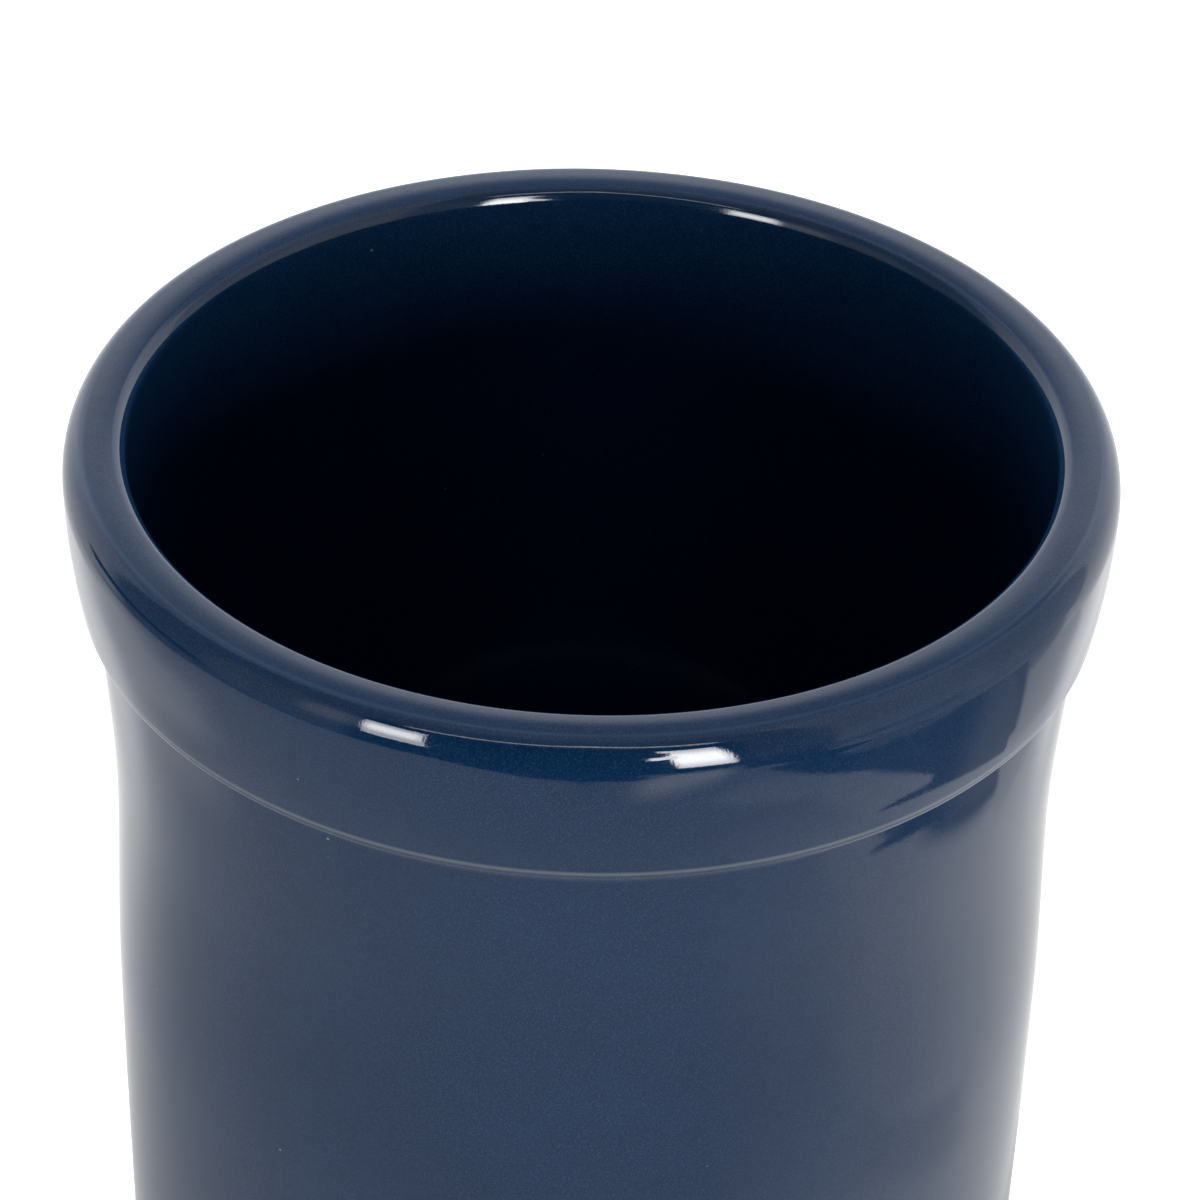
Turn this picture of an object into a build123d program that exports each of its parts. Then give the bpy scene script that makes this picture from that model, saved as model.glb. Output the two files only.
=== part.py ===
"""A straight-sided stoneware utensil crock with a raised collar round its mouth.

The crock is one fired clay body. A coat of glaze covers it inside, outside and
over the rim, and stops just above the foot, which is wiped bare so that the
crock can stand in the kiln. A second, separate patch of glaze fills the shallow
recess inside the foot ring.

The origin is the centre of the foot, on the table, with +Z up the axis.
All lengths are in millimetres and all angles in degrees.
"""

from build123d import *
from math import acos, atan, cos, degrees, radians, sin, sqrt, tan
import os

# Whole crock
height = 178.0
rim_radius = 76.1

# Glaze
glaze_thickness = 0.38
glaze_stop = 1.6

# Collar: the band round the mouth, from the rim top down to the lip of the step
collar_height = 23.0
collar_taper = 1.8
collar_top_lean = 1.0
shoulder_width = 3.3
shoulder_drop = 5.4
arris_angle = 84.0

# Rim top: softly domed between the arris and the roll into the mouth
crown_inset = 4.8
crown_bulge = 25.0
roll_lean = 5.5

# Step under the collar: a rounded lip, then a cove that runs into the wall
collar_step = 2.4
lip_radius = 1.7
cove_radius = 1.9
wall_top_lean = 3.5

# Wall below the collar: slightly waisted, slightly bellied, narrower at the base
wall_flare = 1.7
waist_tuck = 0.4
base_tuck = 1.8
base_lean = 1.4
waist_height_share = 0.785
belly_height_share = 0.55
skirt_height_share = 0.08

# Inside
throat_wall = 5.05
bore_draft = 1.4
roll_width = 2.2
roll_drop = 3.2
floor_thickness = 7.0
inside_corner = 9.0

# Foot
base_round = 4.5
foot_width = 5.2
foot_edge_round = 0.9
recess_depth = 2.3
recess_corner = 1.2

# Radii and heights that follow from the sizes above
lip_edge_radius = rim_radius - collar_taper
wall_top_radius = lip_edge_radius - collar_step
belly_radius = wall_top_radius - wall_flare
waist_radius = belly_radius - waist_tuck
base_radius = belly_radius - base_tuck
mouth_radius = wall_top_radius - throat_wall
crown_peak = rim_radius - crown_inset
floor_top = recess_depth + floor_thickness
bore_depth = height - roll_drop - floor_top
floor_radius = mouth_radius - bore_depth * tan(radians(bore_draft))
foot_outer_radius = base_radius - base_round
foot_inner_radius = foot_outer_radius - foot_width
foot_middle_radius = (foot_outer_radius + foot_inner_radius) / 2
step_height = height - collar_height
no_skin = 0.0


def down_and_in(lean):
    """Give the direction that points down and leans in towards the axis."""
    return (-sin(radians(lean)), -cos(radians(lean)))


def oval_angle(tilt, width, drop):
    """Give the angle round an ellipse at which its surface faces up by a tilt."""
    return degrees(atan(tan(radians(tilt)) * drop / width))


def crown_height(radius):
    """Give the height of the domed rim top at a radius."""
    return height - crown_bulge + sqrt(crown_bulge**2 - (radius - crown_peak) ** 2)


def oval_centre(middle, width, drop, turn):
    """Give the centre of an ellipse that meets the domed rim top at an angle round it."""
    meeting = crown_height(middle + width * cos(radians(turn)))
    return (middle, meeting - drop * sin(radians(turn)))


def draw_shoulder(skin):
    """Draw the outer shoulder of the rim, from its widest point up to the arris on top."""
    width = shoulder_width - skin
    drop = shoulder_drop - skin
    lowest = oval_angle(collar_top_lean, width, drop)
    centre = oval_centre(rim_radius - shoulder_width, shoulder_width, shoulder_drop, arris_angle)
    return EllipticalCenterArc(centre, width, drop, -lowest, arc_size=arris_angle + lowest)


def draw_roll(skin):
    """Draw the roll from the rim top down into the mouth, as part of an ellipse."""
    width = roll_width - skin
    drop = roll_drop - skin
    lowest = oval_angle(bore_draft, width, drop)
    highest = oval_angle(90 - roll_lean, width, drop)
    glazed_turn = 180 - oval_angle(90 - roll_lean, roll_width, roll_drop)
    centre = oval_centre(mouth_radius + roll_width, roll_width, roll_drop, glazed_turn)
    return EllipticalCenterArc(centre, width, drop, 180 - highest, arc_size=highest - lowest)


def draw_step(face, skin):
    """Draw the lip under the collar's face and the cove that leads into the wall."""
    lip = lip_radius - skin
    cove = cove_radius + skin
    face_down = -(face % 1).Y
    wall_down = cos(radians(wall_top_lean))
    turn = degrees(acos((lip * face_down + cove * wall_down - collar_step) / (lip + cove)))
    face_lean = degrees(acos(face_down))
    lip_arc = JernArc(face @ 1, face % 1, lip, face_lean - turn)
    return JernArc(lip_arc @ 1, lip_arc % 1, cove, turn - wall_top_lean)


def draw_wall(start, skin):
    """Draw the outside of the wall as one soft curve from the cove down to the skirt."""
    wall_height = step_height
    skirt_height = wall_height * skirt_height_share
    skirt_radius = base_radius + skirt_height * tan(radians(base_lean))
    return Spline(
        start @ 1,
        (waist_radius - skin, wall_height * waist_height_share),
        (belly_radius - skin, wall_height * belly_height_share),
        (skirt_radius - skin, skirt_height),
        tangents=[start % 1, down_and_in(base_lean)],
    )


def draw_half_outline(skin):
    """Draw the closed half outline of the crock, cut back by a skin where it is glazed."""
    shoulder = draw_shoulder(skin)
    roll = draw_roll(skin)
    ThreePointArc(shoulder @ 1, (crown_peak, height - skin), roll @ 0)
    FilletPolyline(
        roll @ 1,
        (floor_radius + skin, floor_top - skin),
        (0, floor_top - skin),
        radius=inside_corner + skin,
    )
    face = TangentArc(
        shoulder @ 0,
        (lip_edge_radius - skin, step_height),
        tangent=-(shoulder % 0),
    )
    cove = draw_step(face, skin)
    wall = draw_wall(cove, skin)
    FilletPolyline(
        wall @ 1,
        (base_radius - skin, 0),
        (foot_inner_radius + skin, 0),
        (foot_inner_radius + skin, recess_depth + skin),
        (0, recess_depth + skin),
        radius=[base_round - skin, foot_edge_round - skin, recess_corner + skin],
    )
    Line((0, recess_depth + skin), (0, floor_top - skin))


def box_beside_axis(width, top, mode):
    """Draw a rectangle that stands on the table, from the axis out to a width."""
    Rectangle(width, top, align=(Align.MIN, Align.MIN), mode=mode)


# Fired clay body: wall, floor, collar and foot in one piece
with BuildPart() as clay_body:
    with BuildSketch(Plane.XZ):
        with BuildLine():
            draw_half_outline(glaze_thickness)
        make_face()
    revolve(axis=Axis.Z)
clay_body.part.label = "clay_body"

# Glaze coat: outside, over the rim and inside, in one unbroken layer
with BuildPart() as glaze_coat:
    with BuildSketch(Plane.XZ):
        with BuildLine():
            draw_half_outline(no_skin)
        make_face()
        with BuildLine():
            draw_half_outline(glaze_thickness)
        make_face(mode=Mode.SUBTRACT)
        box_beside_axis(rim_radius, glaze_stop, Mode.SUBTRACT)
        box_beside_axis(foot_middle_radius, floor_top / 2, Mode.SUBTRACT)
    revolve(axis=Axis.Z)
glaze_coat.part.label = "glaze_coat"

# Base glaze: the separate patch in the recess under the floor
with BuildPart() as base_glaze:
    with BuildSketch(Plane.XZ):
        with BuildLine():
            draw_half_outline(no_skin)
        make_face()
        with BuildLine():
            draw_half_outline(glaze_thickness)
        make_face(mode=Mode.SUBTRACT)
        box_beside_axis(foot_middle_radius, floor_top / 2, Mode.INTERSECT)
        box_beside_axis(rim_radius, glaze_stop, Mode.SUBTRACT)
    revolve(axis=Axis.Z)
base_glaze.part.label = "base_glaze"

os.makedirs("parts", exist_ok=True)
for piece in (clay_body, glaze_coat, base_glaze):
    export_step(piece.part, f"parts/{piece.part.label}.step")

print(f"mouth {mouth_radius * 2:.1f} mm across, floor {floor_radius * 2:.1f} mm across")
print(f"clay {clay_body.part.volume:.0f} mm3, glaze {glaze_coat.part.volume:.0f} mm3")
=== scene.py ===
# %% [markdown]
# # A glazed stoneware utensil crock
# The crock is a round pot with a raised collar round its mouth. It is thrown or
# pressed from stoneware clay, dipped in a deep navy glaze and fired once or twice.
# This lesson builds its looks in Blender around a model that is already the right
# size: every number below is in metres, and the origin is under the middle of the foot.

# %% Load the crock's frame
import math

import bmesh
import bpy
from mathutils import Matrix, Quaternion, Vector, geometry


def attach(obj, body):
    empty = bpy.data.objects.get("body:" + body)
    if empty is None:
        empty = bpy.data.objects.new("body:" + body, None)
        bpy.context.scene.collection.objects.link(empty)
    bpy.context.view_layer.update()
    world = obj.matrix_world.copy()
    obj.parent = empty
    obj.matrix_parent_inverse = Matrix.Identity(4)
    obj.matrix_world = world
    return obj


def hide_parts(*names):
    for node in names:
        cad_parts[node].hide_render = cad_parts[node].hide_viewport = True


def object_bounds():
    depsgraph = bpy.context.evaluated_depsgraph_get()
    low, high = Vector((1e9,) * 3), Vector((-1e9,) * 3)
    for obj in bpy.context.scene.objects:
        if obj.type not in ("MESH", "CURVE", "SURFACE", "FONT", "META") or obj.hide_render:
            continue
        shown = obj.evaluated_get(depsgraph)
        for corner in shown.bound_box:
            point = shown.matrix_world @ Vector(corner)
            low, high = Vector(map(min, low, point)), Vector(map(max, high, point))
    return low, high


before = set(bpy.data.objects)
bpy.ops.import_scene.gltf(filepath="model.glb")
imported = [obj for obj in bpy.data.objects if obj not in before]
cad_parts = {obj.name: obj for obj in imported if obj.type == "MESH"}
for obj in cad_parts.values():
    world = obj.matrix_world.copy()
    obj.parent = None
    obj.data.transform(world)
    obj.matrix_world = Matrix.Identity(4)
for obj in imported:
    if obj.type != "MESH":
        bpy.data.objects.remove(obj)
cad_low, cad_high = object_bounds()
print("CAD box", tuple(cad_low), tuple(cad_high))

# %% [markdown]
# ## Driving sizes
# A pot has few sizes that matter. The overall height and the collar's radius come
# from the loaded frame, so that the looks can't drift away from the model. The rest
# are the potter's own: how far the collar steps out, how round its lip is, how thick
# the wall and the floor are, and how the foot is cut.

# %% Sizes of the crock
rim_height = round(cad_high.z, 4)
rim_radius = round(cad_high.x, 4)

glaze_thickness = 0.00038
glaze_stop = 0.0016

collar_height = 0.023
collar_taper = 0.0018
collar_top_lean = 1.0
shoulder_width = 0.0033
shoulder_drop = 0.0054
arris_angle = 84.0

crown_inset = 0.0048
crown_bulge = 0.025
roll_lean = 5.5

collar_step = 0.0024
lip_radius = 0.0017
cove_radius = 0.0019
wall_top_lean = 3.5

wall_flare = 0.0017
waist_tuck = 0.0004
base_tuck = 0.0018
base_lean = 1.4
waist_height_share = 0.785
belly_height_share = 0.55
skirt_height_share = 0.08

throat_wall = 0.00505
bore_draft = 1.4
roll_width = 0.0022
roll_drop = 0.0032
floor_thickness = 0.007
inside_corner = 0.009

base_round = 0.0045
foot_width = 0.0052
foot_edge_round = 0.0009
recess_depth = 0.0023
recess_corner = 0.0012

lip_edge_radius = rim_radius - collar_taper
wall_top_radius = lip_edge_radius - collar_step
belly_radius = wall_top_radius - wall_flare
waist_radius = belly_radius - waist_tuck
base_radius = belly_radius - base_tuck
mouth_radius = wall_top_radius - throat_wall
crown_peak = rim_radius - crown_inset
floor_top = recess_depth + floor_thickness
bore_depth = rim_height - roll_drop - floor_top
floor_radius = mouth_radius - bore_depth * math.tan(math.radians(bore_draft))
foot_inner_radius = base_radius - base_round - foot_width
step_height = rim_height - collar_height
print("rim", rim_radius, "mouth", round(mouth_radius, 5), "base", round(base_radius, 5))

# %% [markdown]
# ## Camera
# The photograph looks down at the crock through a long lens from about 33 degrees,
# so the far side of the mouth is only a little smaller than the near side. The camera
# is placed by its distance and angle from the middle of the rim, then turned so that
# this point falls on the same pixel as in the photograph, and rolled by its slight tilt.

# %% Camera
def add_object(name, data):
    """Make an object of some data and put it in the scene."""
    thing = bpy.data.objects.new(name, data)
    bpy.context.scene.collection.objects.link(thing)
    return thing


photo_pixels = 1200
rim_pixel_x = 593.1
rim_pixel_y = 429.7
focal_pixels = 5272.7
sensor_width = 36.0
camera_distance = 0.75747
camera_elevation = math.radians(33.494)
camera_roll = math.radians(1.6418)

rim_centre = Vector((0, 0, rim_height))
camera_back = Vector((0, -math.cos(camera_elevation), math.sin(camera_elevation)))
camera_data = bpy.data.cameras.new("photo camera")
camera_data.sensor_width = sensor_width
camera_data.lens = focal_pixels / photo_pixels * sensor_width
camera_data.clip_start = 0.01
camera = add_object("photo camera", camera_data)
bpy.context.scene.camera = camera

half_frame = photo_pixels / 2
towards_rim = Vector((rim_pixel_x - half_frame, half_frame - rim_pixel_y, -focal_pixels))
look = (-camera_back).to_track_quat("-Z", "Y")
tilt = Quaternion((0, 0, 1), camera_roll)
aside = Vector((0, 0, -1)).rotation_difference(towards_rim.normalized()).inverted()
camera.rotation_mode = "QUATERNION"
camera.rotation_quaternion = look @ tilt @ aside
camera.location = rim_centre + camera_back * camera_distance
print("camera at", tuple(round(x, 4) for x in camera.location))
print("lens", round(camera_data.lens, 2), "mm")

# %% [markdown]
# ## The outline, piece by piece
# A turned pot is fully described by one line: its outline from the axis to the rim and
# down to the foot. The outline here is a list of points (radius, height). Round
# stretches come from three small helpers: one rounds a corner, one turns an arc
# the way a modelling tool does, and one draws part of an ellipse for the shoulder.

# %% Helpers that draw stretches of an outline
def straight(start, end, steps):
    """Points along a straight stretch, ends included."""
    start, end = Vector(start), Vector(end)
    return [start.lerp(end, i / steps) for i in range(steps + 1)]


def rounded_corner(before, corner, after, radius, steps):
    """Points along the arc that rounds a corner between two straight stretches."""
    before, corner, after = Vector(before), Vector(corner), Vector(after)
    back, on = (before - corner).normalized(), (after - corner).normalized()
    half = back.angle(on) / 2
    centre = corner + (back + on).normalized() * (radius / math.sin(half))
    first = (corner + back * (radius / math.tan(half)) - centre).normalized()
    last = (corner + on * (radius / math.tan(half)) - centre).normalized()
    return [centre + first.slerp(last, i / steps) * radius for i in range(steps + 1)]


def turning_arc(start, heading, radius, turn, steps):
    """Points along an arc that leaves a point at a heading and turns, in degrees."""
    side = math.copysign(1, turn)
    across = math.radians(heading + 90 * side)
    centre = Vector(start) + Vector((math.cos(across), math.sin(across))) * radius
    points = []
    for i in range(steps + 1):
        spoke = across + math.pi + math.radians(turn * i / steps)
        points.append(centre + Vector((math.cos(spoke), math.sin(spoke))) * radius)
    return points


def oval_arc(centre, width, height, first, last, steps):
    """Points along part of an ellipse, between two angles in degrees."""
    points = []
    for i in range(steps + 1):
        turn = math.radians(first + (last - first) * i / steps)
        points.append(Vector((centre[0] + width * math.cos(turn), centre[1] + height * math.sin(turn))))
    return points


print("outline helpers ready")

# %% [markdown]
# ## The inside of the crock
# The outline starts on a flat floor, goes up a wall with a slight draft, so that it
# leaves its mould, and ends in a roll at the mouth. Each stretch can be cut back by a
# skin as thick as the glaze, which gives the clay underneath. A fineness says how many
# points a round stretch gets: seen glaze is fine, and the clay that it hides is coarse.

# %% Draw the inside
no_skin = 0
fine = 3
medium = 2
coarse = 1


def oval_angle(tilt, width, drop):
    """The angle round an ellipse at which its surface faces up by a tilt, in degrees."""
    return math.degrees(math.atan(math.tan(math.radians(tilt)) * drop / width))


def crown_height(radius):
    """The height of the domed rim top at a radius."""
    return rim_height - crown_bulge + math.sqrt(crown_bulge ** 2 - (radius - crown_peak) ** 2)


def oval_centre(middle, width, drop, turn):
    """The centre of an ellipse that meets the domed rim top at an angle round it."""
    meeting = crown_height(middle + width * math.cos(math.radians(turn)))
    return (middle, meeting - drop * math.sin(math.radians(turn)))


def roll_outline(skin, fineness):
    """From the inside wall, round the roll at the mouth, up to the rim top."""
    width, drop = roll_width - skin, roll_drop - skin
    lowest = 180 - oval_angle(bore_draft, width, drop)
    highest = 180 - oval_angle(90 - roll_lean, width, drop)
    glazed_turn = 180 - oval_angle(90 - roll_lean, roll_width, roll_drop)
    centre = oval_centre(mouth_radius + roll_width, roll_width, roll_drop, glazed_turn)
    return oval_arc(centre, width, drop, lowest, highest, 10 * fineness)


def inside_outline(skin, fineness):
    """From the middle of the floor up the inside wall and over the roll."""
    roll = roll_outline(skin, fineness)
    floor_edge = (floor_radius + skin, floor_top - skin)
    centre = (0, floor_top - skin)
    corner = rounded_corner(centre, floor_edge, roll[0], inside_corner + skin, 5 * fineness)
    floor = straight(centre, corner[0], 5)
    wall = straight(corner[-1], roll[0], 6 * fineness)
    return floor[:-1] + corner + wall[1:-1] + roll


print(len(inside_outline(no_skin, fine)), "points inside")

# %% [markdown]
# ## The rim and the collar
# The rim top is softly domed and ends in a soft arris, where the shoulder starts. The
# dome is only a tenth of a millimetre high, but it decides which part of the room each
# side of the rim mirrors. Under the shoulder come the collar's slightly bulged face and
# a small lip and cove that lead into the wall.

# %% Draw the rim and the collar
def crown_outline(start, end, skin, steps):
    """The domed rim top between the roll and the shoulder, without its ends."""
    points = []
    for i in range(1, steps):
        radius = start.x + (end.x - start.x) * i / steps
        points.append(Vector((radius, crown_height(radius) - skin)))
    return points


def shoulder_outline(skin, fineness):
    """From the arris on top of the rim, round the shoulder to the collar's face."""
    width, drop = shoulder_width - skin, shoulder_drop - skin
    lowest = oval_angle(collar_top_lean, width, drop)
    centre = oval_centre(rim_radius - shoulder_width, shoulder_width, shoulder_drop, arris_angle)
    return oval_arc(centre, width, drop, arris_angle, -lowest, 12 * fineness)


def face_outline(start, skin, fineness):
    """Down the collar's slightly bulged face, and the angle at which it ends."""
    depth = start.y - step_height
    taper = start.x - (lip_edge_radius - skin)
    slope = math.tan(math.radians(collar_top_lean))
    curl = taper - slope * depth
    steps = 7 * fineness
    points = []
    for i in range(steps + 1):
        share = i / steps
        inwards = slope * depth * share + curl * share ** 2
        points.append(Vector((start.x - inwards, start.y - depth * share)))
    return points, math.degrees(math.atan(slope + 2 * curl / depth))


def step_outline(start, face_lean, skin, fineness):
    """The rounded lip under the collar and the cove that runs into the wall."""
    lip, cove = lip_radius - skin, cove_radius + skin
    down_face = math.cos(math.radians(face_lean))
    down_wall = math.cos(math.radians(wall_top_lean))
    turn_cosine = (lip * down_face + cove * down_wall - collar_step) / (lip + cove)
    turn = math.degrees(math.acos(turn_cosine))
    lip_points = turning_arc(start, -90 - face_lean, lip, face_lean - turn, 6 * fineness)
    cove_points = turning_arc(lip_points[-1], -90 - turn, cove, turn - wall_top_lean, 6 * fineness)
    return lip_points + cove_points[1:]


print(len(shoulder_outline(no_skin, fine)), "points round the shoulder")

# %% [markdown]
# ## The wall and the foot
# The wall is a little waisted and a little bellied. Its base is rounded and stands on a
# ring round a shallow recess.

# %% Draw the wall and the foot
def wall_outline(start, skin, fineness):
    """One soft curve from the cove, through the waist and the belly, to the skirt."""
    skirt_height = step_height * skirt_height_share
    skirt_radius = base_radius + skirt_height * math.tan(math.radians(base_lean))
    knots = [
        Vector((start.x, start.y)),
        Vector((waist_radius - skin, step_height * waist_height_share)),
        Vector((belly_radius - skin, step_height * belly_height_share)),
        Vector((skirt_radius - skin, skirt_height)),
    ]
    slopes = [math.tan(math.radians(wall_top_lean))]
    for before, after in zip(knots, knots[2:]):
        slopes.append((before.x - after.x) / (before.y - after.y))
    slopes.append(math.tan(math.radians(base_lean)))
    points = []
    for i in range(3):
        above, below = knots[i], knots[i + 1]
        reach = (above.y - below.y) / 3
        handle_above = Vector((above.x - slopes[i] * reach, above.y - reach, 0))
        handle_below = Vector((below.x + slopes[i + 1] * reach, below.y + reach, 0))
        stretch = geometry.interpolate_bezier(
            above.to_3d(), handle_above, handle_below, below.to_3d(), 6 * fineness + 1)
        points += [p.to_2d() for p in stretch][1:]
    return points


def glazed_outline(skin, fineness):
    """The glazed surface, from the middle of the floor over the rim down to the skirt."""
    inside = inside_outline(skin, fineness)
    shoulder = shoulder_outline(skin, fineness)
    rim = crown_outline(inside[-1], shoulder[0], skin, 4 * fineness)
    face, face_lean = face_outline(shoulder[-1], skin, fineness)
    step = step_outline(face[-1], face_lean, skin, fineness)
    wall = wall_outline(step[-1], skin, fineness)
    return inside + rim + shoulder + face[1:] + step[1:] + wall


def foot_outline(skin, fineness):
    """The rounding at the base, the foot ring and the recess, up to the middle."""
    skirt = (base_radius - skin + step_height * math.tan(math.radians(base_lean)), step_height)
    base = (base_radius - skin, 0)
    inner = (foot_inner_radius + skin, 0)
    recess = (foot_inner_radius + skin, recess_depth + skin)
    middle = (0, recess_depth + skin)
    return [
        rounded_corner(skirt, base, inner, base_round - skin, 6 * fineness),
        rounded_corner(base, inner, recess, foot_edge_round - skin, 3 * fineness),
        rounded_corner(inner, recess, middle, recess_corner + skin, 3 * fineness),
        [Vector(middle)],
    ]


print(len(glazed_outline(no_skin, fine)), "points in the glazed outline")

# %% [markdown]
# ## Three outlines for three pieces
# The clay body closes on itself through the foot. The glaze coat is a thin shell: it
# follows the finished surface down to just above the foot and comes back along the
# clay. The patch of glaze in the recess under the base is a shell of its own, because
# the foot ring between the two is wiped bare.

# %% Outlines of the glaze coat, the clay body and the base glaze
def above(points, height):
    """The stretch of an outline that lies above a height, with a last point on it."""
    kept = [p for p in points if p.y > height]
    first_cut = next((i for i, p in enumerate(points) if p.y <= height), None)
    if first_cut:
        upper, lower = points[first_cut - 1], points[first_cut]
        kept.append(upper.lerp(lower, (upper.y - height) / (upper.y - lower.y)))
    return kept


def down_to_stop(skin, fineness):
    """The glazed surface and the rounding at the base, as far down as the glaze goes."""
    base_rounding = foot_outline(skin, fineness)[0]
    return glazed_outline(skin, fineness) + above(base_rounding, glaze_stop)


def coat_outline():
    """The finished surface down to the stop, and back up along the clay."""
    return down_to_stop(no_skin, fine) + down_to_stop(glaze_thickness, coarse)[::-1]


def clay_outline():
    """The clay under the glaze, closed through the foot."""
    foot = sum(foot_outline(glaze_thickness, medium), [])
    return glazed_outline(glaze_thickness, coarse) + foot


def patch_outline():
    """The recess surface, cut at the same height above the table as the coat."""
    lower = foot_outline(no_skin, fine)[2]
    upper = foot_outline(glaze_thickness, fine)[2]
    edges = [Vector((lower[0].x, glaze_stop)), Vector((upper[0].x, glaze_stop))]
    lower = [p for p in lower if p.y > glaze_stop]
    upper = [p for p in upper if p.y > glaze_stop]
    lower_middle = [Vector((0, recess_depth))]
    upper_middle = [Vector((0, recess_depth + glaze_thickness))]
    return lower_middle + lower[::-1] + edges + upper + upper_middle


print("coat", len(coat_outline()), "points")
print("clay", len(clay_outline()), "points")
print("patch", len(patch_outline()), "points")

# %% [markdown]
# ## Wire nodes from a script
# Node trees are mostly wired by hand. A script can wire them too, with a few helpers
# that add a node, link a socket or set its value, and do sums.

# %% Helpers that wire nodes
def add_node(tree, kind, **settings):
    """Add a node and set its properties."""
    node = tree.nodes.new(kind)
    for key, value in settings.items():
        setattr(node, key, value)
    return node


def join(tree, source, target):
    """Link an output socket to an input socket, or set a plain value."""
    if isinstance(source, bpy.types.NodeSocket):
        tree.links.new(source, target)
    else:
        target.default_value = source


def math_node(tree, operation, first, second=None):
    """A Math node with its inputs filled, given back as its output."""
    node = add_node(tree, "ShaderNodeMath", operation=operation)
    join(tree, first, node.inputs[0])
    if second is not None:
        join(tree, second, node.inputs[1])
    return node.outputs[0]


def plus(tree, first, second):
    """The sum of two values."""
    return math_node(tree, "ADD", first, second)


def minus(tree, first, second):
    """The first value less the second."""
    return math_node(tree, "SUBTRACT", first, second)


def times(tree, first, second):
    """The product of two values."""
    return math_node(tree, "MULTIPLY", first, second)


def over(tree, first, second):
    """The first value divided by the second."""
    return math_node(tree, "DIVIDE", first, second)


print("node helpers ready")

# %% [markdown]
# ## A potter's wheel in Geometry Nodes
# Blender has a Screw modifier for turned shapes, but a node tree can also make the
# surface breathe a little, as real glaze does. The tree takes the outline, lays out a
# grid with one row for each outline point and one column for each step round the
# wheel, and moves every grid point to its outline point turned by its angle. A slow
# noise then pushes the surface in and out by a few hundredths of a millimetre, which
# is invisible in the silhouette and makes reflections waver as they do on real glaze.

# %% Build the wheel
wheel = bpy.data.node_groups.new("Potter's wheel", "GeometryNodeTree")
for label, socket_type, start_value in (
    ("Outline", "NodeSocketGeometry", None),
    ("Steps Round", "NodeSocketInt", 256),
    ("Wave Depth", "NodeSocketFloat", 0.0),
    ("Waves per Metre", "NodeSocketFloat", 40.0),
    ("Weld Distance", "NodeSocketFloat", 0.000001),
    ("Finish", "NodeSocketMaterial", None),
):
    socket = wheel.interface.new_socket(name=label, in_out="INPUT", socket_type=socket_type)
    if start_value is not None:
        socket.default_value = start_value
wheel.interface.new_socket(name="Pot", in_out="OUTPUT", socket_type="NodeSocketGeometry")

# The grid of outline points by steps round
given = add_node(wheel, "NodeGroupInput")
pot = add_node(wheel, "NodeGroupOutput")
size = add_node(wheel, "GeometryNodeAttributeDomainSize")
join(wheel, given.outputs["Outline"], size.inputs["Geometry"])
rows = size.outputs["Point Count"]
columns = plus(wheel, given.outputs["Steps Round"], 1.0)
grid = add_node(wheel, "GeometryNodeMeshGrid")
join(wheel, columns, grid.inputs["Vertices X"])
join(wheel, rows, grid.inputs["Vertices Y"])

# Each grid point goes to its outline point, turned by its angle
index = add_node(wheel, "GeometryNodeInputIndex").outputs[0]
row = math_node(wheel, "MODULO", index, rows)
column = math_node(wheel, "FLOOR", over(wheel, index, rows))
angle = times(wheel, over(wheel, column, given.outputs["Steps Round"]), 2 * math.pi)
cosine = math_node(wheel, "COSINE", angle)
sine = math_node(wheel, "SINE", angle)
place = add_node(wheel, "GeometryNodeInputPosition").outputs[0]
sample = add_node(wheel, "GeometryNodeSampleIndex", data_type="FLOAT_VECTOR")
join(wheel, given.outputs["Outline"], sample.inputs["Geometry"])
join(wheel, place, sample.inputs["Value"])
join(wheel, row, sample.inputs["Index"])
split = add_node(wheel, "ShaderNodeSeparateXYZ")
join(wheel, sample.outputs["Value"], split.inputs[0])
turned = add_node(wheel, "ShaderNodeCombineXYZ")
join(wheel, times(wheel, split.outputs["X"], cosine), turned.inputs["X"])
join(wheel, times(wheel, split.outputs["X"], sine), turned.inputs["Y"])
join(wheel, split.outputs["Z"], turned.inputs["Z"])
throw = add_node(wheel, "GeometryNodeSetPosition")
join(wheel, grid.outputs["Mesh"], throw.inputs["Geometry"])
join(wheel, turned.outputs[0], throw.inputs["Position"])

# The seam is welded, and a slow noise makes the surface breathe
weld = add_node(wheel, "GeometryNodeMergeByDistance")
join(wheel, throw.outputs[0], weld.inputs["Geometry"])
join(wheel, given.outputs["Weld Distance"], weld.inputs["Distance"])
noise = add_node(wheel, "ShaderNodeTexNoise")
join(wheel, add_node(wheel, "GeometryNodeInputPosition").outputs[0], noise.inputs["Vector"])
join(wheel, given.outputs["Waves per Metre"], noise.inputs["Scale"])
noise.inputs["Detail"].default_value = 1.0
swing = times(wheel, minus(wheel, noise.outputs[0], 0.5), given.outputs["Wave Depth"])
push = add_node(wheel, "ShaderNodeVectorMath", operation="SCALE")
join(wheel, add_node(wheel, "GeometryNodeInputNormal").outputs[0], push.inputs["Vector"])
join(wheel, swing, push.inputs["Scale"])
breathe = add_node(wheel, "GeometryNodeSetPosition")
join(wheel, weld.outputs[0], breathe.inputs["Geometry"])
join(wheel, push.outputs[0], breathe.inputs["Offset"])
smooth = add_node(wheel, "GeometryNodeSetShadeSmooth")
join(wheel, breathe.outputs[0], smooth.inputs["Geometry"])
realize = add_node(wheel, "GeometryNodeRealizeInstances")
join(wheel, smooth.outputs[0], realize.inputs[0])
finish_node = add_node(wheel, "GeometryNodeSetMaterial")
join(wheel, realize.outputs[0], finish_node.inputs["Geometry"])
join(wheel, given.outputs["Finish"], finish_node.inputs["Material"])
join(wheel, finish_node.outputs[0], pot.inputs["Pot"])
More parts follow.
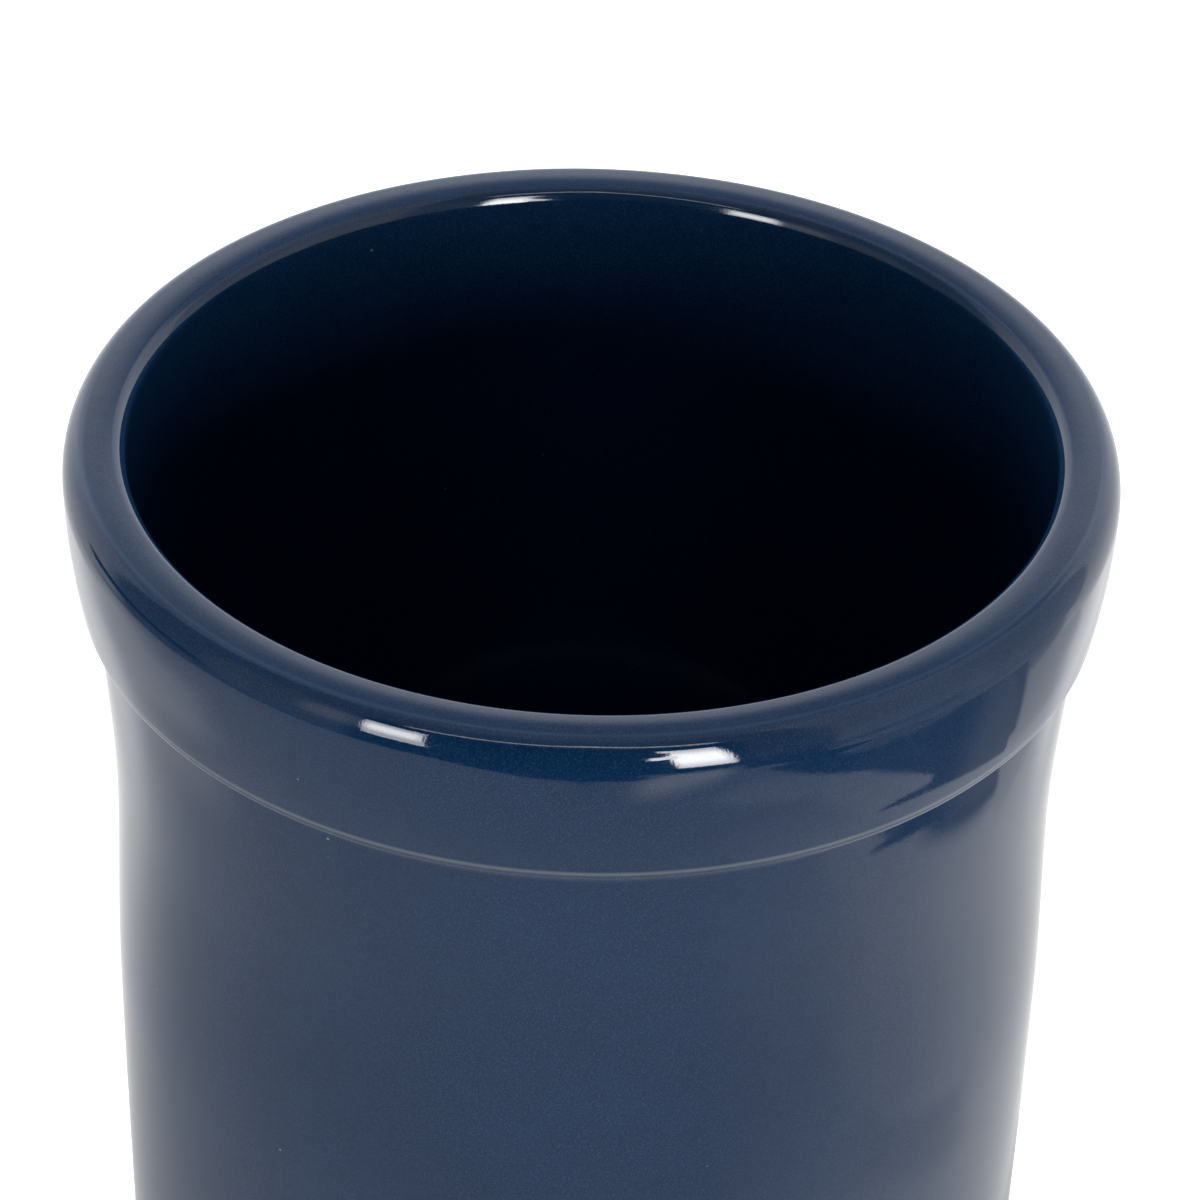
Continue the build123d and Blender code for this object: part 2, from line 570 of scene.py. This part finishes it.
print("wheel has", len(wheel.nodes), "nodes")

# %% [markdown]
# ## Helpers for materials
# The materials below share a few parts: a group of nodes, a noise, a value stretched
# from one range to another, and a mix of two colours.

# %% Helpers for materials
def new_group(name, inputs, outputs):
    """A shader node group with named sockets, and its input and output nodes."""
    group = bpy.data.node_groups.new(name, "ShaderNodeTree")
    for label, kind, value in inputs:
        socket = group.interface.new_socket(name=label, in_out="INPUT", socket_type=kind)
        socket.default_value = value
    for label, kind in outputs:
        group.interface.new_socket(name=label, in_out="OUTPUT", socket_type=kind)
    return group, add_node(group, "NodeGroupInput"), add_node(group, "NodeGroupOutput")


def noise_of(group, vector, scale, detail, roughness):
    """A noise value over the surface, at so many waves per metre."""
    node = add_node(group, "ShaderNodeTexNoise")
    join(group, vector, node.inputs["Vector"])
    join(group, scale, node.inputs["Scale"])
    join(group, detail, node.inputs["Detail"])
    join(group, roughness, node.inputs["Roughness"])
    return node.outputs["Fac"]


def remap(group, value, low, high, to_low, to_high):
    """Stretch a value from one range to another, held inside it and eased."""
    node = add_node(group, "ShaderNodeMapRange", interpolation_type="SMOOTHSTEP")
    for source, target in zip((value, low, high, to_low, to_high), node.inputs):
        join(group, source, target)
    return node.outputs["Result"]


def mix_colour(group, share, first, second):
    """A mix of two colours by a share."""
    node = add_node(group, "ShaderNodeMix", data_type="RGBA")
    colour_inputs = [s for s in node.inputs if s.type == "RGBA"]
    join(group, share, node.inputs[0])
    join(group, first, colour_inputs[0])
    join(group, second, colour_inputs[1])
    return next(s for s in node.outputs if s.type == "RGBA")


FLOAT, COLOUR, VECTOR = "NodeSocketFloat", "NodeSocketColor", "NodeSocketVector"
print("material helpers ready")

# %% [markdown]
# ## Glaze
# Fired glaze is a thin layer of coloured glass. Its colour is deep, because light
# passes the glass twice, and nearly all that the eye sees beside the colour is the
# room mirrored in its surface. A plain Principled shader with a low roughness and
# glass's index of refraction gives both. What makes it ceramic and not plastic are small
# things: slow changes of depth, pale crystals in the glass, a finer peel like that of an
# orange, tiny specks, and a paler line where glaze thins over an edge. The pale grey line
# along the lip is a painted highlight.

# %% Build the glaze's surface effects
crystal_blue = (0.22, 0.36, 0.56, 1)
speck_grey = (0.30, 0.33, 0.38, 1)
glass, glass_in, glass_out = new_group(
    "Glaze surface",
    [
        ("Place", VECTOR, (0, 0, 0)),
        ("Deep", COLOUR, (0, 0, 0, 1)),
        ("Thin", COLOUR, (0, 0, 0, 1)),
        ("Cloud Scale", FLOAT, 30.0),
        ("Peel Scale", FLOAT, 3200.0),
        ("Crystal Scale", FLOAT, 4800.0),
        ("Speck Scale", FLOAT, 260.0),
        ("Gloss", FLOAT, 0.04),
    ],
    [("Colour", COLOUR), ("Roughness", FLOAT), ("Height", FLOAT)],
)
spot, deep, thin = list(glass_in.outputs)[:3]
cloud_scale, peel_scale, crystal_scale, speck_scale, plain_gloss = list(glass_in.outputs)[3:8]

# Slow clouds and a finer mottle change the depth of the blue
cloud = noise_of(glass, spot, cloud_scale, 3.0, 0.6)
mottle = noise_of(glass, spot, times(glass, cloud_scale, 9.0), 4.0, 0.65)
depth = plus(glass, times(glass, cloud, 0.6), times(glass, mottle, 0.4))
tint = mix_colour(glass, remap(glass, depth, 0.2, 0.8, 0.0, 1.0), deep, thin)

# Pale crystals float in the glass, and a few specks sit on it
crystal_noise = noise_of(glass, spot, crystal_scale, 0.0, 0.5)
crystal = remap(glass, crystal_noise, 0.45, 0.8, 0.0, 0.05)
tint = mix_colour(glass, crystal, tint, crystal_blue)
cell = add_node(glass, "ShaderNodeTexVoronoi")
join(glass, spot, cell.inputs["Vector"])
join(glass, speck_scale, cell.inputs["Scale"])
rare = add_node(glass, "ShaderNodeSeparateColor")
join(glass, cell.outputs["Color"], rare.inputs[0])
chosen = remap(glass, rare.outputs[0], 0.955, 0.96, 0.0, 1.0)
dot = remap(glass, cell.outputs["Distance"], 0.03, 0.075, 1.0, 0.0)
speck = times(glass, chosen, dot)
tint = mix_colour(glass, times(glass, speck, 0.5), tint, speck_grey)
join(glass, tint, glass_out.inputs["Colour"])

# Smudges dull the gloss a little, and each speck dulls it more
smudge = noise_of(glass, spot, times(glass, cloud_scale, 2.0), 3.0, 0.6)
dulling = remap(glass, smudge, 0.45, 0.75, 0.0, 0.03)
gloss = plus(glass, plus(glass, plain_gloss, dulling), times(glass, speck, 0.25))
join(glass, gloss, glass_out.inputs["Roughness"])

# The peel is a fine and a broad ripple, and a speck is a small pit in it
fine_peel = noise_of(glass, spot, peel_scale, 1.0, 0.5)
broad_peel = noise_of(glass, spot, times(glass, peel_scale, 0.28), 1.0, 0.5)
peel = plus(glass, fine_peel, times(glass, broad_peel, 1.2))
join(glass, minus(glass, peel, times(glass, speck, 3.0)), glass_out.inputs["Height"])
print("glaze group has", len(glass.nodes), "nodes")

# %% [markdown]
# The material itself holds the shader, and the group gives what changes over the surface.
# Edges where the glaze runs thin are rings at known radii and heights, so a distance
# from the ring, worked out from Object coordinates, marks them: the arris on top and the
# edge of the mouth. Two more rings paint a pale grey highlight on the lip, a little above
# the step, with a fainter, wider painted tail lower on the lip. The roll at the mouth is a
# touch less glossy than the rest, which softens its highlights.

# %% Navy glaze material
def new_material(name):
    """A material with its shader and the object's own coordinates."""
    material = bpy.data.materials.new(name)
    material.use_nodes = True
    tree = material.node_tree
    shader = next(n for n in tree.nodes if n.type == "BSDF_PRINCIPLED")
    coordinates = add_node(tree, "ShaderNodeTexCoord").outputs["Object"]
    return material, tree, shader, coordinates


def hypotenuse(tree, first, second):
    """The length of the slanting side over two square ones."""
    return math_node(tree, "SQRT", plus(tree, times(tree, first, first), times(tree, second, second)))


def ring_mask(tree, coordinates, ring, reach):
    """One near the ring at a radius and height, falling to nothing at a reach from it."""
    parts = add_node(tree, "ShaderNodeSeparateXYZ")
    join(tree, coordinates, parts.inputs[0])
    x, y, z = parts.outputs
    out = minus(tree, hypotenuse(tree, x, y), ring.x)
    up = minus(tree, z, ring.y)
    return remap(tree, hypotenuse(tree, out, up), 0.0, reach, 1.0, 0.0)


navy_deep = (0.0010, 0.0165, 0.055, 1)
navy_thin = (0.0038, 0.0250, 0.073, 1)
navy_edge = (0.030, 0.075, 0.150, 1)
# Pale grey of the painted highlight on the lip, and how far above the step the highlight lies
lip_highlight_grey = (0.110, 0.130, 0.155, 1)
lip_highlight_rise = 0.0005
roll_reach = 0.0030
roll_softening = 0.05
peel_depth = 0.000005

glaze_material, glaze_tree, glaze_shader, glaze_place = new_material("navy glaze")
surface = add_node(glaze_tree, "ShaderNodeGroup", node_tree=glass)
join(glaze_tree, glaze_place, surface.inputs["Place"])
surface.inputs["Deep"].default_value = navy_deep
surface.inputs["Thin"].default_value = navy_thin

shoulder_points = shoulder_outline(no_skin, fine)
face_points, face_lean = face_outline(shoulder_points[-1], no_skin, fine)
arris = shoulder_points[0]
mouth_edge = roll_outline(no_skin, fine)[12]
lip_highlight_tail = step_outline(face_points[-1], face_lean, no_skin, fine)[6]
lip_highlight_ring = Vector((lip_edge_radius, step_height + lip_highlight_rise))
glaze_colour = surface.outputs["Colour"]
# The arris and the mouth edge are paler where the glaze thins; the two lip rings are a painted
# highlight and its fainter painted tail
for ring, reach, strength, colour in (
    (arris, 0.00045, 0.3, navy_edge),
    (mouth_edge, 0.0007, 0.25, navy_edge),
    (lip_highlight_tail, 0.0018, 0.13, lip_highlight_grey),
    (lip_highlight_ring, 0.0006, 0.85, lip_highlight_grey),
):
    thin_glaze_and_highlight = times(glaze_tree, ring_mask(glaze_tree, glaze_place, ring, reach), strength)
    glaze_colour = mix_colour(glaze_tree, thin_glaze_and_highlight, glaze_colour, colour)
    print("thin glaze at radius", round(ring.x * 1000, 2), "height", round(ring.y * 1000, 2), "mm")
join(glaze_tree, glaze_colour, glaze_shader.inputs["Base Color"])

roll_mask = ring_mask(glaze_tree, glaze_place, mouth_edge, roll_reach)
softened = plus(glaze_tree, surface.outputs["Roughness"], times(glaze_tree, roll_mask, roll_softening))
join(glaze_tree, softened, glaze_shader.inputs["Roughness"])
glaze_shader.inputs["IOR"].default_value = 1.5
bump = add_node(glaze_tree, "ShaderNodeBump")
bump.inputs["Strength"].default_value = 0.5
bump.inputs["Distance"].default_value = peel_depth
join(glaze_tree, surface.outputs["Height"], bump.inputs["Height"])
join(glaze_tree, bump.outputs[0], glaze_shader.inputs["Normal"])
print("glaze material has", len(glaze_tree.nodes), "nodes")

# %% [markdown]
# ## Bare clay
# Only the foot ring shows clay. Fired stoneware is a warm buff, dull and slightly
# gritty, with darker iron spots and a scuffed face where it has stood on shelves.

# %% Fired clay material
clay_dark = (0.40, 0.30, 0.19, 1)
clay_light = (0.56, 0.45, 0.31, 1)
clay_toasted = (0.34, 0.24, 0.15, 1)
iron_brown = (0.08, 0.045, 0.03, 1)
grit_height = 0.00012

clay_material, clay_tree, clay_shader, clay_place = new_material("fired clay")
grain = noise_of(clay_tree, clay_place, 2200.0, 5.0, 0.7)
grain_share = remap(clay_tree, grain, 0.35, 0.65, 0.0, 1.0)
clay_colour = mix_colour(clay_tree, grain_share, clay_dark, clay_light)
toast = remap(clay_tree, noise_of(clay_tree, clay_place, 120.0, 3.0, 0.55), 0.5, 0.75, 0.0, 0.5)
clay_colour = mix_colour(clay_tree, toast, clay_colour, clay_toasted)
iron = add_node(clay_tree, "ShaderNodeTexVoronoi")
join(clay_tree, clay_place, iron.inputs["Vector"])
iron.inputs["Scale"].default_value = 700.0
iron_spot = remap(clay_tree, iron.outputs["Distance"], 0.08, 0.16, 1.0, 0.0)
clay_colour = mix_colour(clay_tree, times(clay_tree, iron_spot, 0.6), clay_colour, iron_brown)
join(clay_tree, clay_colour, clay_shader.inputs["Base Color"])
join(clay_tree, remap(clay_tree, grain, 0.3, 0.7, 0.7, 0.92), clay_shader.inputs["Roughness"])
grit = add_node(clay_tree, "ShaderNodeBump")
grit.inputs["Strength"].default_value = 0.6
grit.inputs["Distance"].default_value = grit_height
join(clay_tree, grain, grit.inputs["Height"])
join(clay_tree, grit.outputs[0], clay_shader.inputs["Normal"])
print("clay material has", len(clay_tree.nodes), "nodes")

# %% [markdown]
# ## Turn the pieces
# Each outline becomes a chain of points in the XZ plane. The wheel turns it, and the
# result is kept as a plain mesh, because later steps read plain meshes only. The sign
# of the mesh's volume tells whether its faces point outwards, and they are flipped if
# they don't. Each piece then stands for the part of the loaded model that it dresses.

# %% Turn an outline into a piece
def socket_identifier(tree, label):
    """The identifier by which a modifier knows one of a tree's inputs."""
    return next(s.identifier for s in tree.interface.items_tree if s.name == label)


def enclosed_volume(mesh):
    """The volume inside a closed mesh, below zero where its faces point inwards."""
    mesh.calc_loop_triangles()
    total = 0
    for triangle in mesh.loop_triangles:
        a, b, c = [mesh.vertices[i].co for i in triangle.vertices]
        total += a.dot(b.cross(c))
    return total / 6


def turn_piece(name, outline, material, steps_round, wave_depth, node):
    """Turn an outline on the wheel and let the result stand for a CAD node."""
    links = [(i, i + 1) for i in range(len(outline) - 1)]
    chain = bpy.data.meshes.new(name + "_outline")
    chain.from_pydata([(p.x, 0, p.y) for p in outline], links, [])
    holder = add_object(name + "_outline", chain)
    turner = holder.modifiers.new("wheel", "NODES")
    turner.node_group = wheel
    turner[socket_identifier(wheel, "Steps Round")] = steps_round
    turner[socket_identifier(wheel, "Wave Depth")] = wave_depth
    turner[socket_identifier(wheel, "Finish")] = material
    evaluated = holder.evaluated_get(bpy.context.evaluated_depsgraph_get())
    mesh = bpy.data.meshes.new_from_object(evaluated)
    bpy.data.objects.remove(holder)
    mesh.name = name
    volume = enclosed_volume(mesh)
    if volume < 0:
        mesh.flip_normals()
    piece = add_object(name, mesh)
    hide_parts(node)
    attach(piece, "root")
    print(name, len(mesh.loop_triangles), "triangles,", round(abs(volume) * 1e6, 2), "cm3")


coat_steps = 256
clay_steps = 128
base_steps = 192
coat_wave = 0.00006
base_wave = 0.00004
no_wave = 0.0
turn_piece(
    "turned_glaze_coat", coat_outline(), glaze_material,
    coat_steps, coat_wave, "glaze_coat")
turn_piece(
    "turned_clay_body", clay_outline(), clay_material,
    clay_steps, no_wave, "clay_body")
turn_piece(
    "turned_base_glaze", patch_outline(), glaze_material,
    base_steps, base_wave, "base_glaze")

# %% [markdown]
# ## Floor
# The crock stands on a pale floor that keeps its shadow. A glow that only the camera
# sees lifts the floor to white, so that the background is clean and no extra light
# falls on the crock. The glow is half as strong near the crock, where the lamps light
# the floor, as it is far away, where they don't reach.

# %% Floor
floor_half = 4.0
floor_grey = (0.8, 0.8, 0.8, 1)
near_glow = 0.5
far_glow = 1.05
glow_starts_to_grow = 0.7
glow_is_full = 1.3


def emptied(thing):
    """Clear the nodes of a material or a world and give back its tree."""
    thing.use_nodes = True
    thing.node_tree.nodes.clear()
    return thing.node_tree


floor_corners = [(x * floor_half, y * floor_half, 0) for x, y in ((-1, -1), (1, -1), (1, 1), (-1, 1))]
floor_mesh = bpy.data.meshes.new("floor")
floor_mesh.from_pydata(floor_corners, [], [(0, 1, 2, 3)])
floor = add_object("floor", floor_mesh)
floor.visible_glossy = False

floor_material = bpy.data.materials.new("pale floor")
floor_tree = emptied(floor_material)
floor_out = add_node(floor_tree, "ShaderNodeOutputMaterial")
matt = add_node(floor_tree, "ShaderNodeBsdfDiffuse")
matt.inputs["Color"].default_value = floor_grey
seen_directly = add_node(floor_tree, "ShaderNodeLightPath").outputs["Is Camera Ray"]
from_crock = add_node(floor_tree, "ShaderNodeVectorMath", operation="LENGTH")
join(floor_tree, add_node(floor_tree, "ShaderNodeTexCoord").outputs["Object"], from_crock.inputs[0])
distance_out = from_crock.outputs["Value"]
glow = remap(floor_tree, distance_out, glow_starts_to_grow, glow_is_full, near_glow, far_glow)
lift = add_node(floor_tree, "ShaderNodeEmission")
join(floor_tree, times(floor_tree, seen_directly, glow), lift.inputs["Strength"])
both = add_node(floor_tree, "ShaderNodeAddShader")
join(floor_tree, matt.outputs[0], both.inputs[0])
join(floor_tree, lift.outputs[0], both.inputs[1])
join(floor_tree, both.outputs[0], floor_out.inputs["Surface"])
floor_mesh.materials.append(floor_material)
print("floor is", 2 * floor_half, "m across")

# %% [markdown]
# ## Air
# The world is white to the camera and in mirrors. As a light it is only a faint grey,
# because in the photograph hardly any light comes down into the crock.

# %% Air
air_light = 0.08
air = bpy.data.worlds.new("studio air")
bpy.context.scene.world = air
air_tree = emptied(air)
air_out = add_node(air_tree, "ShaderNodeOutputWorld")
path = add_node(air_tree, "ShaderNodeLightPath")
mirrored = math_node(
    air_tree, "MAXIMUM", path.outputs["Is Glossy Ray"], path.outputs["Is Transmission Ray"])
seen = math_node(air_tree, "MAXIMUM", path.outputs["Is Camera Ray"], mirrored)
white = add_node(air_tree, "ShaderNodeBackground")
white.inputs["Color"].default_value = (1, 1, 1, 1)
faint = add_node(air_tree, "ShaderNodeBackground")
faint.inputs["Strength"].default_value = air_light
choose = add_node(air_tree, "ShaderNodeMixShader")
join(air_tree, seen, choose.inputs[0])
join(air_tree, faint.outputs[0], choose.inputs[1])
join(air_tree, white.outputs[0], choose.inputs[2])
join(air_tree, choose.outputs[0], air_out.inputs["Surface"])
print("air light", air_light)

# %% [markdown]
# ## What the glaze mirrors
# Glossy glaze shows its surroundings more than itself, so the room is built with the
# same care as the pot. Three surfaces are seen in mirrors only: a dome round the rim,
# painted with the softboxes, panels and dark corners of a photographer's room, a table
# top under the crock, and a dark card over the table. All are painted with one effect, a
# patch with soft edges, square or round. It can lean, so that it moves sideways as it
# goes up, or rise, so that it climbs as it goes sideways.

# %% A patch with soft edges
patch_group, patch_in, patch_out = new_group(
    "Soft patch",
    [(label, FLOAT, 0.0) for label in (
        "Across", "Up", "Wrap", "Middle Across", "Middle Up", "Half Width", "Half Height",
        "Soft Across", "Soft Up", "Lean", "Rise", "Round")],
    [("Mask", FLOAT)],
)
given_patch = patch_in.outputs

# How far a place is from the patch's middle, after the lean and the rise
from_middle = minus(patch_group, given_patch["Across"], given_patch["Middle Across"])
from_middle_up = minus(patch_group, given_patch["Up"], given_patch["Middle Up"])
lean_here = times(patch_group, from_middle_up, given_patch["Lean"])
leaned = minus(patch_group, from_middle, lean_here)
wrapped = add_node(patch_group, "ShaderNodeMath", operation="WRAP")
join(patch_group, leaned, wrapped.inputs[0])
join(patch_group, given_patch["Wrap"], wrapped.inputs[1])
join(patch_group, times(patch_group, given_patch["Wrap"], -1.0), wrapped.inputs[2])
rise_here = times(patch_group, wrapped.outputs[0], given_patch["Rise"])
risen = minus(patch_group, from_middle_up, rise_here)

# A square mask from the two distances, or a round one from both at once
sides = []
shares = []
for offset, half, soft in (
    (wrapped.outputs[0], given_patch["Half Width"], given_patch["Soft Across"]),
    (risen, given_patch["Half Height"], given_patch["Soft Up"]),
):
    away = math_node(patch_group, "ABSOLUTE", offset)
    end = plus(patch_group, half, soft)
    sides.append(remap(patch_group, away, half, end, 1.0, 0.0))
    shares.append(over(patch_group, away, end))
box_mask = times(patch_group, sides[0], sides[1])
whole_width = plus(patch_group, given_patch["Half Width"], given_patch["Soft Across"])
core = over(patch_group, given_patch["Half Width"], whole_width)
round_mask = remap(patch_group, hypotenuse(patch_group, shares[0], shares[1]), core, 1.0, 1.0, 0.0)
shape = add_node(patch_group, "ShaderNodeMix")
join(patch_group, given_patch["Round"], shape.inputs[0])
join(patch_group, box_mask, shape.inputs[2])
join(patch_group, round_mask, shape.inputs[3])
join(patch_group, shape.outputs[0], patch_out.inputs["Mask"])
print("patch group has", len(patch_group.nodes), "nodes")

# %% [markdown]
# ## Paint with patches
# One function paints all three surfaces. On the dome a patch is placed by azimuth and
# elevation in degrees, with azimuth 0 towards the camera and growing to the right. On the
# flat table and card it is placed in millimetres to the right of the crock's axis and
# back from it. A level of 1 is white paper in full light, and softboxes are brighter.

# %% Paint a surface with patches
millimetres = 1000.0
half_turn = 180.0
no_wrap = 100000.0


def painted_light(name, base_level, patches, flat):
    """A glowing material: a base level with patches laid over each other in order."""
    material = bpy.data.materials.new(name)
    tree = emptied(material)
    out = add_node(tree, "ShaderNodeOutputMaterial")
    parts = add_node(tree, "ShaderNodeSeparateXYZ")
    join(tree, add_node(tree, "ShaderNodeTexCoord").outputs["Object"], parts.inputs[0])
    x, y, z = parts.outputs
    if flat:
        across = times(tree, x, millimetres)
        up = times(tree, y, millimetres)
    else:
        azimuth = math_node(tree, "ARCTAN2", x, times(tree, y, -1.0))
        elevation = math_node(tree, "ARCTAN2", minus(tree, z, rim_height), hypotenuse(tree, x, y))
        across = math_node(tree, "DEGREES", azimuth)
        up = math_node(tree, "DEGREES", elevation)
    level = base_level
    for strength, *place in patches:
        patch = add_node(tree, "ShaderNodeGroup", node_tree=patch_group)
        join(tree, across, patch.inputs["Across"])
        join(tree, up, patch.inputs["Up"])
        patch.inputs["Wrap"].default_value = no_wrap if flat else half_turn
        for socket, value in zip(list(patch.inputs)[3:], place):
            socket.default_value = value
        laid_over = add_node(tree, "ShaderNodeMix")
        join(tree, patch.outputs["Mask"], laid_over.inputs[0])
        join(tree, level, laid_over.inputs[2])
        join(tree, strength, laid_over.inputs[3])
        level = laid_over.outputs[0]
    paint = add_node(tree, "ShaderNodeEmission")
    join(tree, level, paint.inputs["Strength"])
    join(tree, paint.outputs[0], out.inputs["Surface"])
    print(name, "has", len(patches), "patches")
    return material


def hang(name, build, material):
    """Make a built mesh a painted thing that is seen in mirrors only."""
    mesh = bpy.data.meshes.new(name)
    build.to_mesh(mesh)
    build.free()
    mesh.materials.append(material)
    thing = add_object(name, mesh)
    for ray in ("camera", "diffuse", "shadow", "transmission", "volume_scatter"):
        setattr(thing, "visible_" + ray, False)


print("painting helpers ready")

# %% [markdown]
# ## The dome
# The patches read like a list of what stands round the table: a large white panel
# behind on each side, a grey wall on the right, a dark room behind the camera, a softbox
# on each side of the camera, and a thin strip light above them. Later patches
# cover earlier ones, as cards do that stand in front of others.

# %% Paint and hang the dome
dome_radius = 2.6
room_level = 0.24
room = [
    # level, azimuth, elevation, half width, half height, soft across, soft up, lean, rise, round
    (0.47, 0, 90, 180, 10, 1, 22),
    (0.46, 118, 56, 40, 16, 22, 14),
    (0.60, -140, 56, 24, 10, 26, 16),
    (0.76, -173.5, 0, 69, 31, 3, 9),
    (0.30, -178, 48, 12, 6, 16, 7),
    (1.05, -148, 4, 22, 22, 24, 26, 0, 0, 1),
    (1.25, 153, 2, 28, 32, 12, 12, 0, 0, 1),
    (1.22, 132, 0, 14, 28, 2, 10),
    (1.55, -146, 13, 2, 8, 16, 26, 0, 0, 1),
    (1.50, 150, 14, 8, 10, 16, 20, 0, 0, 1),
    (1.32, 180, 0, 22, 28.5, 14, 7),
    (0.70, 84, 8, 33, 48, 3, 18),
    (0.66, 60, 20, 4, 10, 14, 26),
    (0.60, 96, 0, 6, 30, 10, 12),
    (0.20, -90, 10, 14, 40, 8, 20),
    (0.00, -8, 2, 36, 32, 7, 12),
    (0.02, -84, -12.5, 32, 2.0, 6, 1.6),
    (0.42, 60, -28, 18, 9, 6, 6),
    (0.10, 37, -27, 8, 10, 6, 6),
    (0.36, -64, 8, 10, 18, 10, 14),
    (0.95, -51, 12, 2, 5, 7, 16),
    (7.0, -37.4, 11, 6.1, 15, 1.0, 1.5, -0.06),
    (17.0, -37.4, 12.5, 4.2, 2, 2.8, 11, -0.06),
    (11.0, 22.2, 6.5, 5.3, 21, 1.0, 1.2, -0.08),
    (24.0, 22.0, 5, 4, 4, 2.2, 19, -0.08),
    (15.0, 15.2, 8.5, 2.0, 2.6, 1.5, 1.5, 0, 0.5),
    (0.30, 15.2, 19, 1.0, 3.0, 1.0, 1.5),
    (3.8, -18, 43.3, 18, 1.3, 5, 1.3, 0, 0.26),
    (4.4, 14, 45.6, 14, 1.5, 3, 1.3, 0, -0.27),
]
dome_build = bmesh.new()
bmesh.ops.create_uvsphere(dome_build, u_segments=96, v_segments=64, radius=dome_radius)
bmesh.ops.translate(dome_build, verts=dome_build.verts, vec=rim_centre)
hang("studio dome", dome_build, painted_light("studio room", room_level, room, flat=False))

# %% [markdown]
# ## The table
# The table top is brighter behind the crock, where the panels light it, and it ends less
# than half a metre away. A dark edge runs along it on the right, and a bright spot of
# one softbox lies at the front.

# %% Paint and lay the table
table_radius = 0.47
table_height = 0.0001
table_level = 0.62
table_top = [
    # level, right, back, half width, half depth, soft across, soft deep, lean, rise
    (1.02, -130, 320, 170, 190, 170, 130),
    (1.25, -190, 150, 10, 30, 40, 50),
    (0.94, -235, 45, 12, 50, 30, 60),
    (0.20, -530, 60, 80, 100, 60, 60),
    (0.15, -440, -320, 40, 45, 35, 30),
    (1.15, 330, 350, 240, 225, 60, 28, 0, 0.2),
    (0.50, 400, -60, 190, 120, 60, 50),
    (1.00, 145, 60, 50, 60, 12, 210),
    (0.85, 226, 92, 30, 44, 8, 8),
    (1.40, 188, 160, 12, 25, 35, 45),
    (0.92, 190, -110, 16, 50, 16, 20),
    (0.85, 155, -195, 14, 20, 20, 25, 1.0),
    (0.80, 150, -42, 7, 30, 10, 26),
    (0.36, 262, -100, 30, 60, 12, 20),
    (0.26, 247, 3, 41, 36, 4, 10),
    (0.10, 228, -78, 17, 48, 7, 10, 0.05),
    (0.10, 203, -175, 12, 58, 6, 10, 0.4),
    (0.06, 245, -262, 36, 72, 14, 16, -0.1),
    (0.08, 310, -400, 70, 90, 25, 40, -0.5),
    (0.02, -100, -700, 600, 262, 20, 18),
    (0.03, -110, -520, 110, 150, 20, 40, 0, 0.55),
    (0.03, 5, -440, 55, 120, 40, 40),
    (0.70, 185, -430, 14, 60, 22, 50, -0.6),
    (1.70, 116, -318, 24, 44, 40, 34, -0.45),
]
table_build = bmesh.new()
bmesh.ops.create_circle(table_build, cap_ends=True, segments=96, radius=table_radius)
bmesh.ops.translate(table_build, verts=table_build.verts, vec=(0, 0, table_height))
hang("studio table", table_build, painted_light("studio table top", table_level, table_top, flat=True))

# %% [markdown]
# ## The dark card
# A dark card hangs over the table at the right, a hand's breadth above it. The collar
# and the wall mirror its near edge as two dark wedges, one above and one below the lip. A
# patch on the table could not do that, because the wall would mirror it all the way down.
# Towards the back the card is paler, where light falls on it from behind.

# %% Cut and hang the dark card
card_height = 0.100
card_level = 0.14
card_outline = [
    # right, back, in millimetres
    (88, -72.5), (91.8, -67), (95, -61.5), (98.6, -55), (102.3, -45.5), (104.8, -35),
    (106.4, -24), (106.8, -17), (108, -15), (134, -14), (152, -19), (148, -52), (130, -82),
    (108, -103), (104, -100), (111, -82), (108, -66), (107, -55), (103.5, -55),
    (101, -58.5), (95.3, -66.5), (91, -70.7),
]
card_patches = [
    # level, right, back, half width, half depth, soft across, soft deep
    (0.32, 125, -10, 60, 20, 5, 22),
]
card_build = bmesh.new()
card_build.faces.new([
    card_build.verts.new((right / millimetres, back / millimetres, card_height))
    for right, back in card_outline
])
hang("studio card", card_build, painted_light("studio dark card", card_level, card_patches, flat=True))

# %% [markdown]
# ## Lamps
# The lamps light the glaze's own colour and the floor, and are left out of mirrors,
# where the dome stands for them. Four low, wide lamps stand round the crock, so that
# its outside is evenly lit and its inside falls off into the dark. One high lamp behind
# lights the floor, which throws light up on to the wall.

# %% Lamps
def soft_lamp(name, place, width, height, power):
    """A soft rectangular lamp that faces the crock."""
    data = bpy.data.lights.new(name, "AREA")
    data.shape = "RECTANGLE"
    data.size = width
    data.size_y = height
    data.energy = power
    lamp = add_object(name, data)
    lamp.location = place
    aim = rim_centre - Vector(place)
    lamp.rotation_mode = "QUATERNION"
    lamp.rotation_quaternion = aim.to_track_quat("-Z", "Y")
    lamp.visible_glossy = False
    lamp.visible_camera = False
    print(name, power, "watts")


low_lamp_width = 0.9
low_lamp_height = 0.44
high_lamp_side = 1.2
high_lamp_power = 55.0
for name, place, power in (
    ("front_left_lamp", (-0.85, -1.05, 0.26), 7.0),
    ("front_right_lamp", (0.85, -1.05, 0.22), 10.4),
    ("back_left_lamp", (-1.2, 0.5, 0.14), 7.5),
    ("back_right_lamp", (1.2, 0.5, 0.14), 6.5),
):
    soft_lamp(name, place, low_lamp_width, low_lamp_height, power)
soft_lamp("high_back_lamp", (0.0, 1.3, 1.7), high_lamp_side, high_lamp_side, high_lamp_power)

# %% [markdown]
# ## Finish
# The scene is shown plainly, with Standard colour.

# %% Colour view
bpy.context.scene.view_settings.view_transform = "Standard"
